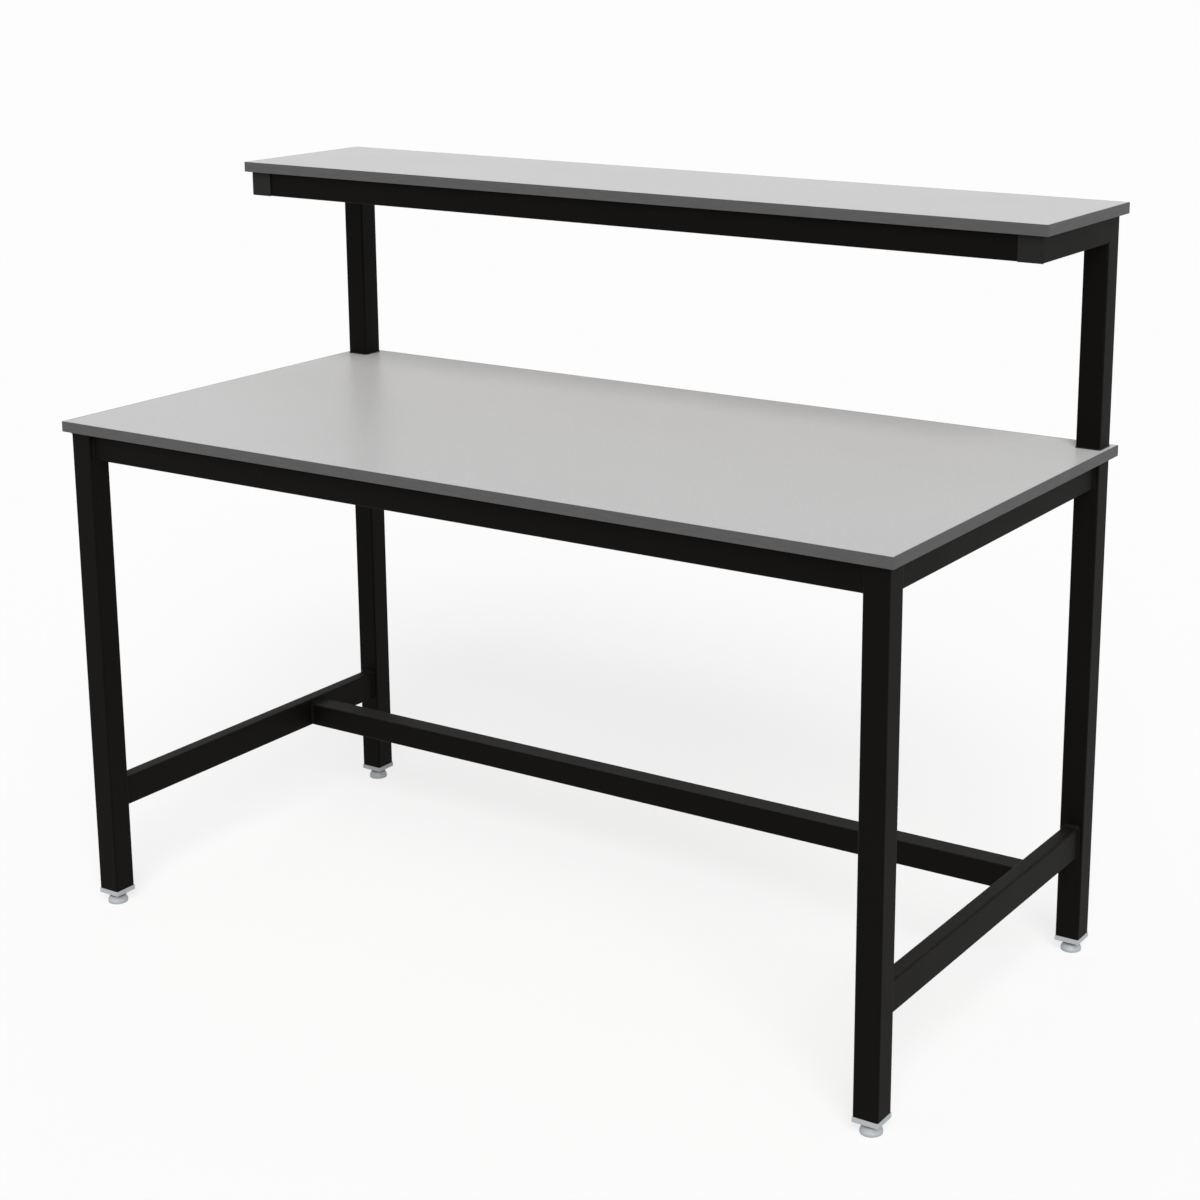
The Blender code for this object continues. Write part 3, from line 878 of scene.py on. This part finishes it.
def collar(post, level, outline):
    """An outline swept round a post, as distances out from it and up from a level."""
    points = seam(extent(post).xy / 2, ROUND, 0.0, 0.0)
    origin = middle(post)
    origin.z = level
    return sweep(points, [outline] * len(points), origin, (RIGHT, BACK, UP), closed=True)


def plate_weld(corner):
    """The weld between a leg's top and its corner plate, ground flush with the leg."""
    leg = f"leg_{corner}"
    leg_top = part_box(leg)[1].z
    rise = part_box(f"corner_plate_{corner}")[0].z - leg_top + FLUSH_LAP
    outline = [
        (-FLUSH_LAP, -FLUSH_LAP), (-FLUSH_INSET, -FLUSH_LAP), (-FLUSH_INSET, rise), (-FLUSH_LAP, rise),
    ]
    return collar(leg, leg_top, outline)


def arm_weld(side, face):
    """The weld in the groove between an arm's end and its upright, ground flush with the arm's side."""
    arm_low, arm_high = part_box(f"shelf_arm_{side}")
    upright_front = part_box(f"upright_{side}")[0].y
    surface = arm_high.x - FLUSH_INSET if face > 0 else arm_low.x + FLUSH_INSET
    hidden = surface - face * FLUSH_DEPTH
    near = arm_high.y - FLUSH_LAP
    corners = [
        (surface, near),
        (surface, upright_front + TUBE_RADIUS + FLUSH_LAP),
        (hidden, upright_front + FLUSH_LAP),
        (hidden, near),
    ]
    levels = (arm_low.z + TUBE_RADIUS, arm_high.z - TUBE_RADIUS)
    return skin([[Vector((x, y, level)) for x, y in corners] for level in levels])


def upright_shade_bead(side, settings):
    """A small hollow bead in the corner between an upright and the worktop, for the painted shade there."""
    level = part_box("worktop_laminate")[1].z
    return collar(f"upright_{side}", level, bead_outline(settings.shade_bead))


# Feet and fasteners

def foot_pad(corner):
    """A moulded round pad: rounded rim, sloping shoulder, and a socket that holds the stud."""
    node = f"foot_pad_{corner}"
    low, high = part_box(node)
    radius = extent(node).x / 2
    rings = [
        *bend_rings(radius - PAD_EDGE, low.z + PAD_EDGE, PAD_EDGE, -math.pi / 2, 0.0),
        *bend_rings(radius - PAD_BEND, low.z + PAD_RIM, PAD_BEND, 0.0, PAD_SLOPE),
        *bend_rings(radius - PAD_SHOULDER, high.z - PAD_EDGE, PAD_EDGE, PAD_SLOPE, math.pi / 2),
        ring(PAD_SOCKET + SMALL_CHAMFER, high.z),
        ring(PAD_SOCKET, high.z - SMALL_CHAMFER),
        ring(PAD_SOCKET, high.z - PAD_SOCKET_DEPTH),
    ]
    return skin(standing(rings, node))


def foot_stud(corner, settings):
    """A threaded stud with a hexagon above the pad."""
    node = f"foot_stud_{corner}"
    low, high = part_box(node)
    thread = Thread(settings.stud, settings.pitch, settings.depth)
    root = thread.radius - thread.depth
    hexagon_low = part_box(f"foot_pad_{corner}")[1].z + PLAY
    hexagon_high = hexagon_low + settings.hexagon_height
    rings = [
        ring(thread.radius - STUD_CHAMFER, low.z),
        ring(thread.radius, low.z + STUD_CHAMFER),
        ring(thread.radius, hexagon_low),
        *hexagon_rings(settings.hexagon, hexagon_low, hexagon_high),
        *thread_rings(thread, hexagon_high, high.z - STUD_CHAMFER),
        ring(root - STUD_CHAMFER, high.z),
    ]
    return skin(standing(rings, node))


def screw_rings(screw, radius, tip, mouth, floor):
    """A screw that points down, with its head's top at zero. Mouth and floor are its recess's outlines."""
    seat = -screw.head
    return [
        ring(screw.tip, tip),
        *thread_rings(screw.thread, tip + screw.taper, seat - screw.neck),
        ring(screw.thread.radius - screw.thread.depth / 2, seat),
        ring(radius, seat),
        *dome_rings(radius, radius * screw.flat, seat + screw.rim, 0.0),
        ring(mouth, -RECESS_LIP),
        ring(floor, -screw.recess),
    ]


def board_screw(node):
    """A wood screw with a pan head and a cross recess, driven up into a board."""
    low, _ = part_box(node)
    centre = middle(node)
    radius = extent(node).x / 2
    mouth = cross_outline(radius, CROSS_MOUTH)
    floor = cross_outline(radius, CROSS_FLOOR)
    rings = screw_rings(BOARD_SCREW, radius, -extent(node).z, mouth, floor)
    upside_down = Matrix.Rotation(math.pi, 4, "X")
    return skin(placed(rings, Matrix.Translation((centre.x, centre.y, low.z)) @ upside_down))


def lock_screw(node):
    """A button-head screw with a hexagon socket, driven into a rear leg from behind."""
    _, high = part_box(node)
    centre = middle(node)
    radius = extent(node).x / 2
    socket = hexagon_outline(radius * SOCKET_FLATS)
    rings = screw_rings(LOCK_SCREW, radius, -extent(node).y, socket, socket)
    to_the_back = Matrix.Rotation(-math.pi / 2, 4, "X")
    return skin(placed(rings, Matrix.Translation((centre.x, high.y, centre.z)) @ to_the_back))


def earth_stud():
    """A threaded brass stud through the rail's wall: a nut on the wall, a washer and a second nut."""
    low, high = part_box("earth_stud")
    centre = middle("earth_stud")
    flats = extent("earth_stud").y
    root = EARTH_THREAD.radius - EARTH_THREAD.depth
    nut_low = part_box("top_rail_left")[1].x + PLAY
    nut_high = nut_low + EARTH_NUT
    washer_high = nut_high + EARTH_WASHER
    second_high = washer_high + EARTH_SECOND_NUT
    washer = flats * WASHER_REACH
    rings = [
        ring(root, low.x),
        ring(root, nut_low),
        *hexagon_rings(flats, nut_low, nut_high),
        ring(washer - SMALL_CHAMFER, nut_high),
        ring(washer, nut_high + SMALL_CHAMFER),
        ring(washer, washer_high - SMALL_CHAMFER),
        ring(washer - SMALL_CHAMFER, washer_high),
        *hexagon_rings(flats, washer_high, second_high),
        *thread_rings(EARTH_THREAD, second_high, high.x - STUD_CHAMFER),
        ring(root - STUD_CHAMFER, high.x),
    ]
    to_the_right = Matrix.Rotation(math.pi / 2, 4, "Y")
    return skin(placed(rings, Matrix.Translation((0.0, centre.y, centre.z)) @ to_the_right))


# The steps that build the bench's looks

class BENCH_OT_dress_boards(Operator):
    """Finishes the laminates, edge bands and chipboard of the worktop and the shelf."""

    bl_idname = "bench.dress_boards"
    bl_label = "Dress boards"

    def execute(self, context):
        for board in BOARDS:
            dress(f"{board}_laminate", finish(context.scene, "laminate_finish"))
            dress(f"{board}_core", finish(context.scene, "chipboard_finish"))
            for edge in EDGES:
                dress(f"{board}_edge_{edge}", finish(context.scene, "edge_band_finish"))
        return {"FINISHED"}


class BENCH_OT_dress_frame(Operator):
    """Finishes the tubes and plates of the steel frame."""

    bl_idname = "bench.dress_frame"
    bl_label = "Dress frame"

    def execute(self, context):
        for node in FRAME_NODES:
            dress(node, finish(context.scene, "powder_coat_finish"))
        return {"FINISHED"}


class BENCH_OT_add_welds(Operator):
    """Adds the welds where rails meet legs, uprights and arms."""

    bl_idname = "bench.add_welds"
    bl_label = "Add welds"

    def execute(self, context):
        settings = context.scene.bench_frame
        coat = finish(context.scene, "powder_coat_finish")
        for rail, post, run, turns in welded_joints():
            weld = rail_weld(rail, post, run, turns, settings)
            new_piece(f"weld_{rail}_{post}", weld, coat, "frame")
        for corner in CORNERS:
            new_piece(f"weld_corner_plate_{corner}", plate_weld(corner), coat, "frame")
        for side, outward in SIDES.items():
            for name, face in (("outer", outward), ("inner", -outward)):
                new_piece(f"weld_shelf_arm_{side}_{name}", arm_weld(side, face), coat, "frame")
        return {"FINISHED"}


class BENCH_OT_dress_plugs(Operator):
    """Finishes the arms' end caps and the legs' inserts."""

    bl_idname = "bench.dress_plugs"
    bl_label = "Dress plugs"

    def execute(self, context):
        for side in SIDES:
            dress(f"arm_cap_{side}", finish(context.scene, "dark_plastic_finish"))
        for corner in CORNERS:
            dress(f"leg_insert_{corner}", finish(context.scene, "light_plastic_finish"))
        return {"FINISHED"}


class BENCH_OT_add_shade_beads(Operator):
    """Adds a dark bead round the foot of each upright, as painted shade where it stands on the worktop."""

    bl_idname = "bench.add_seals"
    bl_label = "Add seals"

    def execute(self, context):
        # The dark bead is painted shade in the corner at each upright's foot
        dark = finish(context.scene, "dark_plastic_finish")
        for side in SIDES:
            shade_bead = upright_shade_bead(side, context.scene.bench_frame)
            new_piece(f"seal_upright_{side}", shade_bead, dark, "frame")
        return {"FINISHED"}


class BENCH_OT_add_feet(Operator):
    """Adds the turned foot pads and the threaded studs."""

    bl_idname = "bench.add_feet"
    bl_label = "Add feet"

    def execute(self, context):
        settings = context.scene.bench_feet
        light = finish(context.scene, "light_plastic_finish")
        zinc = finish(context.scene, "zinc_finish")
        for corner in CORNERS:
            pad = new_piece(f"pad_{corner}", foot_pad(corner), light, f"pad_{corner}")
            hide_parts(f"foot_pad_{corner}")
            stud = new_piece(f"stud_{corner}", foot_stud(corner, settings), zinc, f"stud_{corner}")
            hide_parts(f"foot_stud_{corner}")
        return {"FINISHED"}


class BENCH_OT_add_screws(Operator):
    """Adds the cross-head screws under the boards and the socket screws in the rear legs."""

    bl_idname = "bench.add_screws"
    bl_label = "Add screws"

    def execute(self, context):
        zinc = finish(context.scene, "zinc_finish")
        for board in BOARDS:
            for corner in CORNERS:
                node = f"{board}_screw_{corner}"
                piece = new_piece(f"cross_{node}", board_screw(node), zinc, "frame")
                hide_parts(node)
        for side in SIDES:
            node = f"spigot_screw_{side}"
            piece = new_piece(f"socket_{node}", lock_screw(node), zinc, "frame")
            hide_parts(node)
            dress(f"upright_spigot_{side}", zinc)
        return {"FINISHED"}


class BENCH_OT_add_earth_stud(Operator):
    """Adds the brass earth stud with its washer and nuts."""

    bl_idname = "bench.add_earth_stud"
    bl_label = "Add earth stud"

    def execute(self, context):
        brass = finish(context.scene, "brass_finish")
        piece = new_piece("brass_earth_stud", earth_stud(), brass, "frame")
        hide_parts("earth_stud")
        return {"FINISHED"}


class BENCH_OT_set_stage(Operator):
    """Adds the floor, the light and the camera."""

    bl_idname = "bench.set_stage"
    bl_label = "Set stage"

    def execute(self, context):
        settings = context.scene.bench_stage
        context.scene.view_settings.view_transform = "Standard"
        add_floor(context.scene)
        set_world(context.scene, settings)
        add_sun(context.scene, settings)
        add_camera(context.scene, settings)
        return {"FINISHED"}


def add_floor(scene):
    """A wide round floor, just under the feet."""
    made = bmesh.new()
    bmesh.ops.create_circle(made, cap_ends=True, segments=ROUND_POINTS, radius=FLOOR_RADIUS)
    mesh = bpy.data.meshes.new("floor")
    made.to_mesh(mesh)
    made.free()
    mesh.materials.append(finish(scene, "floor_finish"))
    floor = bpy.data.objects.new("floor", mesh)
    floor.location.z = -FLOOR_DROP
    scene.collection.objects.link(floor)


def set_world(scene, settings):
    """Even light from all round, seen as white by the camera, in reflections and through clear surfaces."""
    scene.world = bpy.data.worlds.new("studio")
    scene.world.use_nodes = True
    nodes = Nodes(scene.world.node_tree)
    camera = nodes.add("ShaderNodeLightPath", output="Is Camera Ray")
    glossy = nodes.add("ShaderNodeLightPath", output="Is Glossy Ray")
    through = nodes.add("ShaderNodeLightPath", output="Is Transmission Ray")
    capped_sum = {"operation": "ADD", "use_clamp": True}
    seen = nodes.add("ShaderNodeMath", capped_sum, {0: camera + glossy, 1: through})
    strength = seen + (1 - seen) * settings.fill
    sky = nodes.add("ShaderNodeBackground", {}, {"Color": (1.0, 1.0, 1.0), "Strength": strength})
    nodes.add("ShaderNodeOutputWorld", {}, {"Surface": sky})


def add_sun(scene, settings):
    """One broad soft light from above, in front and to the right."""
    lamp = bpy.data.lights.new("soft_sun", "SUN")
    lamp.energy = settings.sun
    lamp.angle = settings.sun_spread
    sun = bpy.data.objects.new("soft_sun", lamp)
    sun.rotation_euler = (settings.sun_tilt, 0.0, settings.sun_turn)
    scene.collection.objects.link(sun)


def add_camera(scene, settings):
    """The photograph's viewpoint."""
    lens = bpy.data.cameras.new("camera")
    lens.sensor_width = SENSOR_WIDTH
    lens.lens = settings.lens
    lens.shift_x, lens.shift_y = settings.shift
    lens.clip_end = 2 * FLOOR_RADIUS
    camera = bpy.data.objects.new("camera", lens)
    camera.location = settings.place
    camera.rotation_euler = (math.pi / 2 - settings.elevation, 0.0, settings.azimuth)
    scene.collection.objects.link(camera)
    scene.camera = camera


# The add-on

OPERATORS = (
    BENCH_OT_dress_boards,
    BENCH_OT_dress_frame,
    BENCH_OT_add_welds,
    BENCH_OT_dress_plugs,
    BENCH_OT_add_shade_beads,
    BENCH_OT_add_feet,
    BENCH_OT_add_screws,
    BENCH_OT_add_earth_stud,
    BENCH_OT_set_stage,
)
SETTINGS = {
    "bench_boards": BoardSettings,
    "bench_frame": FrameSettings,
    "bench_feet": FootSettings,
    "bench_fasteners": FastenerSettings,
    "bench_stage": StageSettings,
}


class BENCH_PT_workbench(Panel):
    """Lists the workbench's settings and the steps that build its looks."""

    bl_label = "Workbench"
    bl_idname = "BENCH_PT_workbench"
    bl_space_type = "VIEW_3D"
    bl_region_type = "UI"
    bl_category = "Workbench"

    def draw(self, context):
        for name, group in SETTINGS.items():
            box = self.layout.box()
            settings = getattr(context.scene, name)
            for setting in group.__annotations__:
                box.prop(settings, setting)
        for operator in OPERATORS:
            self.layout.operator(operator.bl_idname)


def register():
    """Makes the settings, the steps and the panel known to Blender."""
    for group in SETTINGS.values():
        bpy.utils.register_class(group)
    for name, group in SETTINGS.items():
        setattr(bpy.types.Scene, name, PointerProperty(type=group))
    for operator in OPERATORS:
        bpy.utils.register_class(operator)
    bpy.utils.register_class(BENCH_PT_workbench)


def unregister():
    """Takes the panel, the steps and the settings out of Blender again."""
    bpy.utils.unregister_class(BENCH_PT_workbench)
    for operator in reversed(OPERATORS):
        bpy.utils.unregister_class(operator)
    for name, group in SETTINGS.items():
        delattr(bpy.types.Scene, name)
        bpy.utils.unregister_class(group)


def main():
    """Builds the bench's looks step by step."""
    register()
    bpy.ops.bench.dress_boards()
    bpy.ops.bench.dress_frame()
    bpy.ops.bench.add_welds()
    bpy.ops.bench.dress_plugs()
    bpy.ops.bench.add_seals()
    bpy.ops.bench.add_feet()
    bpy.ops.bench.add_screws()
    bpy.ops.bench.add_earth_stud()
    bpy.ops.bench.set_stage()


if __name__ == "__main__":
    main()
